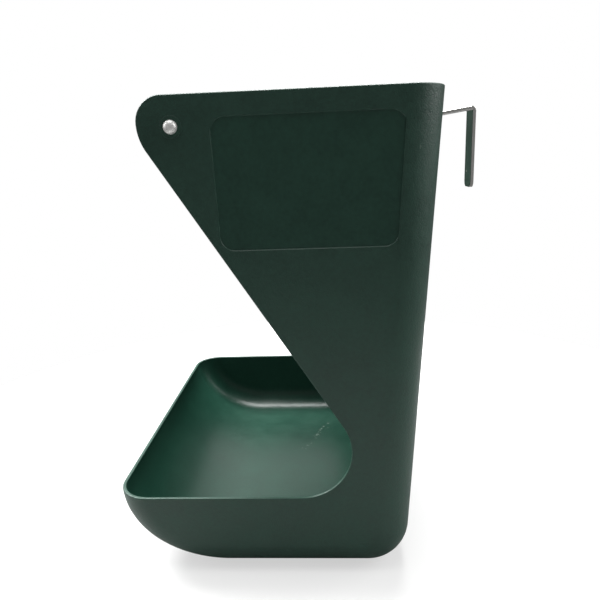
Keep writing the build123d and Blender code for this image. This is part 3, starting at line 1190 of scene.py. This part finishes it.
@dataclass
class StrapHook:
    """Hook bent from flat bar: plate on the back wall, bridge that rises backward, hanging leg."""

    form: FeederForm
    side: Side
    width: float = 0.016
    thickness: float = 0.002
    bend_radius: float = 0.0015
    spacing: float = 0.154
    shoulder_drop: float = 0.0134
    plate_length: float = 0.060
    rise_angle: float = 8.0
    reach: float = 0.02385
    leg_drop: float = 0.0433
    corner_radius: float = 0.004
    edge_radius: float = 0.00035

    def path(self) -> Faced:
        """Middle line of the strap in the side view, its bends rounded.

        The points crowd toward both ends, at corner radius times (1 - cos a), where the corners
        of the bar are rounded.

        Returns:
            Points and normals (y, z), from the foot of the plate to the foot of the leg.
        """
        form = self.form
        lean = math.radians(form.back_draft)
        out = np.array([math.cos(lean), -math.sin(lean)]) * self.thickness / 2
        shoulder = form.height - self.shoulder_drop
        foot = shoulder - self.plate_length
        leg_y = form.back_plane(shoulder) + self.reach
        low = np.array([form.back_plane(foot), foot]) + out
        high = np.array([form.back_plane(shoulder), shoulder]) + out
        top = high[1] + (leg_y - high[0]) * math.tan(math.radians(self.rise_angle))
        line = np.stack([low, high, [leg_y, top], [leg_y, shoulder - self.leg_drop]])
        radii = [0, self.bend_radius, self.bend_radius, 0]
        points, normals = rounded_outline(line, radii, steps=10, closed=False)
        share = (1 - np.cos(np.linspace(0, math.pi / 2, num=8)))[:, None] * self.corner_radius
        start = points[0] + unit(points[1] - points[0]) * share
        end = points[-1] + unit(points[-2] - points[-1]) * share[::-1]
        first, last = (np.broadcast_to(normals[row], start.shape) for row in (0, -1))
        return np.concatenate([start, points[1:-1], end]), np.concatenate([first, normals[1:-1], last])

    def build(self, material: bpy.types.Material) -> bpy.types.Object:
        """Carries a rounded flat section along the path.

        The section's width narrows over the last few millimetres as the corners of the bar are
        rounded: half width = full half width - r + sqrt(r^2 - (r - s)^2) at s from the end.

        Args:
            material: Finish of the strap.

        Returns:
            The strap, standing for its solid.
        """
        line, normals = self.path()
        steps = np.linalg.norm(np.diff(line, axis=0), axis=1)
        travel = np.concatenate([[0.0], np.cumsum(steps)])
        short = np.clip(self.corner_radius - np.minimum(travel, travel[-1] - travel), 0, None)
        rounding = np.sqrt(np.clip(self.corner_radius**2 - short**2, 0, None))
        w, t = self.width / 2, self.thickness / 2
        corners = np.array([[-w, -t], [w, -t], [w, t], [-w, t]])
        section, facing = rounded_outline(corners, [self.edge_radius] * 4, steps=4)
        narrowing = (w - self.corner_radius + rounding) / w
        across = section[None, :, 0] * narrowing[:, None] + self.side.value * self.spacing / 2
        flat = line[:, None] + normals[:, None] * section[None, :, 1:]
        points = np.concatenate([across[..., None], flat], axis=-1)
        turned_out = np.concatenate([
            np.broadcast_to(facing[None, :, :1], across.shape + (1,)),
            normals[:, None] * facing[None, :, 1:],
        ], axis=-1)
        name = "hook_" + self.side.name.lower()
        piece = Moulding("strap_" + name)
        piece.add(grid_patch(points, turned_out, closed_v=True))
        for row, inner in ((0, 1), (-1, -2)):
            away = unit(np.array([0.0, *(line[row] - line[inner])]))
            loop = points[row]
            fan = np.stack([loop, np.broadcast_to(loop.mean(axis=0), loop.shape)])
            piece.add(grid_patch(fan, np.broadcast_to(away, fan.shape).copy(), closed_v=True))
        strap = piece.build([material])
        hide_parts(name)
        return strap


@dataclass
class RodCap:
    """Domed cap pushed on an end of the cross rod."""

    form: FeederForm
    side: Side
    radius: float = 0.0037
    height: float = 0.0034
    skirt: float = 0.0006

    def build(self, material: bpy.types.Material) -> bpy.types.Object:
        """Turns the cap: a thin straight skirt under a dome whose section is a quarter ellipse.

        Args:
            material: Finish of the cap.

        Returns:
            The cap, standing for its solid.
        """
        turn = np.linspace(0, math.pi / 2, num=20)
        radius, rise = self.radius, self.height - self.skirt
        dome = np.stack([radius * np.cos(turn), self.skirt + rise * np.sin(turn)], axis=-1)
        dome_normals = unit(np.stack([np.cos(turn) / radius, np.sin(turn) / rise], axis=-1))
        outline = np.concatenate([[[0, 0], [radius, 0], [radius, 0]], dome])
        normals = np.concatenate([[[0, -1], [0, -1], [1, 0]], dome_normals])
        seat = self.form.half_width(self.form.rod_centre[1]) + self.form.boss_proud
        centre = np.array([self.side.value * seat, *self.form.rod_centre])
        name = "rod_cap_" + self.side.name.lower()
        piece = Moulding("dome_" + name)
        piece.add(turned(outline, normals, centre, ACROSS * self.side.value, segments=64))
        cap = piece.build([material])
        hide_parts(name)
        return cap


@dataclass
class SmallParts:
    """Rod, centring washers, bolts, washers and nuts, kept as their solids and given finishes."""

    nodes: dict[str, bpy.types.Object]

    def dress(self, prefix: str, material: bpy.types.Material) -> None:
        """Gives a finish to a group of nodes.

        Args:
            prefix: What the nodes' names start with.
            material: The finish.
        """
        for name, piece in self.nodes.items():
            if name.startswith(prefix):
                for slot in piece.material_slots:
                    slot.material = material


# The studio


@dataclass
class Studio:
    """Pale floor, soft lights and the camera where the photograph was taken.

    Angles are in degrees, the lens and the sensor in millimetres.
    """

    camera_place: Place = (0.438246, 0.007246, 0.267236)
    camera_azimuth: float = 93.4427
    camera_elevation: float = 14.7485
    camera_roll: float = -2.339
    lens: float = 33.7165
    sensor: float = 36.0
    near_clip: float = 0.01
    floor_rings: tuple[float, ...] = (0.0, 0.15, 0.3, 0.45)
    floor_colour: Colour = (0.29, 0.29, 0.29, 1.0)
    floor_light_colour: Colour = (0.31, 0.31, 0.305, 1.0)
    floor_waves: float = 9.0
    floor_roughness: float = 0.9
    floor_lift: float = 0.58
    world_glow: float = 0.235
    world_seen: float = 1.0

    def camera(self) -> None:
        """Places the camera from its azimuth, elevation and roll about its own axis."""
        az, el = math.radians(self.camera_azimuth), math.radians(self.camera_elevation)
        back = Vector((math.sin(az) * math.cos(el), -math.cos(az) * math.cos(el), math.sin(el)))
        right = Vector((0, 0, 1)).cross(back).normalized()
        upright = Matrix((right, back.cross(right), back)).transposed()
        turned_about = upright @ Matrix.Rotation(math.radians(self.camera_roll), 3, "Z")
        data = bpy.data.cameras.new("photo_camera")
        data.sensor_width, data.lens, data.clip_start = self.sensor, self.lens, self.near_clip
        camera = bpy.data.objects.new("photo_camera", data)
        bpy.context.scene.collection.objects.link(camera)
        camera.matrix_world = Matrix.Translation(self.camera_place) @ turned_about.to_4x4()
        bpy.context.scene.camera = camera

    def lamp(self, name: str, place: Place, aim: Place, size: float, glow: float) -> None:
        """Adds a square soft light whose face glows evenly: its power is glow times pi times its area.

        Args:
            name: The light's name.
            place: Its centre.
            aim: The place that it faces.
            size: Its side.
            glow: Brightness of its face, where paper white is one.
        """
        data = bpy.data.lights.new(name, "AREA")
        data.shape, data.size, data.energy = "SQUARE", size, glow * math.pi * size**2
        lamp = bpy.data.objects.new(name, data)
        bpy.context.scene.collection.objects.link(lamp)
        lamp.location = place
        lamp.rotation_euler = (Vector(aim) - Vector(place)).to_track_quat("-Z", "Y").to_euler()

    def floor(self) -> None:
        """Pale floor, a disc of rings with a faint mottle, lifted to white for the camera alone."""
        rays = np.pad(circle(64), ((0, 0), (0, 1)))
        points = np.array(self.floor_rings)[:, None, None] * rays
        material, board, shader = new_material("floor_card")
        mottle = board.noise(board.place(), self.floor_waves)
        tint = board.blend(mottle, self.floor_colour, self.floor_light_colour)
        seen = board.add("ShaderNodeLightPath").outputs["Is Camera Ray"]
        lift = board.spread(seen, (0.0, 1.0), 0.0, self.floor_lift)
        board.feed(shader, Base_Color=tint, Roughness=self.floor_roughness)
        board.feed(shader, Emission_Color=WHITE, Emission_Strength=lift)
        piece = Moulding("floor")
        piece.add(grid_patch(points, np.broadcast_to(UP, points.shape), closed_v=True))
        ground = piece.build([material])
        ground.parent = None

    def world(self) -> None:
        """Even pale surroundings, whiter to the camera than the light they give."""
        world = bpy.data.worlds.new("studio")
        bpy.context.scene.world = world
        world.use_nodes = True
        board = NodeBoard(world.node_tree)
        seen = board.add("ShaderNodeLightPath").outputs["Is Camera Ray"]
        strength = board.spread(seen, (0.0, 1.0), self.world_glow, self.world_seen)
        board.feed(world.node_tree.nodes["Background"], Color=WHITE, Strength=strength)

    def build(self) -> None:
        """Sets up camera, floor, lights and surroundings."""
        self.camera()
        self.floor()
        self.world()
        self.lamp("overhead", place=(0.25, -0.15, 1.9), aim=(0.05, -0.02, 0.1), size=1.0, glow=4.5)
        self.lamp("tray_glint", place=(-0.55, 0.0, 1.6), aim=(-0.05, -0.02, 0.03), size=0.8, glow=27.0)
        self.lamp("tray_key", place=(-0.6, -1.3, 1.5), aim=(0.0, -0.04, 0.03), size=0.8, glow=33.0)
        self.lamp("front_key", place=(-0.2, -1.7, 1.0), aim=(0.0, -0.05, 0.03), size=1.6, glow=3.0)
        self.lamp("far_card", place=(-1.7, 0.0, 1.35), aim=(0.0, 0.0, 0.03), size=1.3, glow=1.1)
        self.lamp("back_fill", place=(0.0, 1.7, 1.1), aim=(0.0, 0.1, 0.0), size=1.6, glow=3.6)
        bpy.context.scene.view_settings.view_transform = "Standard"


def green_finishes() -> list[bpy.types.Material]:
    """Makes the three greens of the moulding.

    Returns:
        The materials of the shell's slots, in order: grained, smooth and sunk.
    """
    side_rub = ScuffTrail(
        plane=("Y", "Z"), start=(0.0558, 0.2755), end=(0.0566, 0.2600), width=0.0016,
        depth_axis="X", full_depth=0.1315, no_depth=0.1305, wander=0.001, fade=0.002,
    )
    tray_rub = ScuffTrail(
        plane=("X", "Y"), start=(-0.082, 0.002), end=(-0.026, -0.024), width=0.0035,
        depth_axis="Z", full_depth=0.0035, no_depth=0.0045,
    )
    finishes = (
        FeederPlastic("green_grained", scuff=side_rub),
        FeederPlastic(
            "green_smooth", roughness=0.33, roughness_spread=0.04, grain_depth=0.05, scuff=tray_rub
        ),
        FeederPlastic("green_sunk", roughness=0.40, roughness_spread=0.05, grain_depth=0.12, specular=0.4),
    )
    return [finish.build() for finish in finishes]


def main() -> None:
    """Builds the studio and each piece in order, and reports them."""
    logging.basicConfig(level=logging.INFO, format="%(message)s")
    form = FeederForm()
    Studio().build()
    greens = green_finishes()
    strap_steel = PlatedSteel(
        "strap_steel", roughness=0.07, roughness_spread=0.02, colour=(0.74, 0.74, 0.71, 1.0),
        dull_colour=(0.60, 0.60, 0.58, 1.0), grain_stretch=(1.0, 1.0, 0.05), grain_depth=0.02,
    ).build()
    cap_steel = PlatedSteel(
        "cap_steel", roughness=0.42, roughness_spread=0.07, colour=(0.86, 0.86, 0.84, 1.0),
        dull_colour=(0.74, 0.74, 0.72, 1.0), metallic=0.6,
    ).build()
    rod_steel = PlatedSteel("rod_steel", roughness=0.19, grain_stretch=(0.04, 1.0, 1.0)).build()
    zinc = PlatedSteel("zinc_fasteners", roughness=0.36, roughness_spread=0.06).build()
    pieces = [FeederShell(form).build(greens), FrontPanel(form).build(greens[0])]
    for side in Side:
        pieces.append(StrapHook(form, side).build(strap_steel))
        pieces.append(RodCap(form, side).build(cap_steel))
    small = SmallParts(frame["nodes"])
    small.dress("cross_rod", rod_steel)
    small.dress("rod_spacer", PalePlastic().build())
    for prefix in ("hook_bolt", "hook_washer", "hook_nut"):
        small.dress(prefix, zinc)
    for piece in pieces:
        mesh = piece.data
        log.info("%s: %d points, %d faces", piece.name, len(mesh.vertices), len(mesh.polygons))


if __name__ == "__main__":
    main()
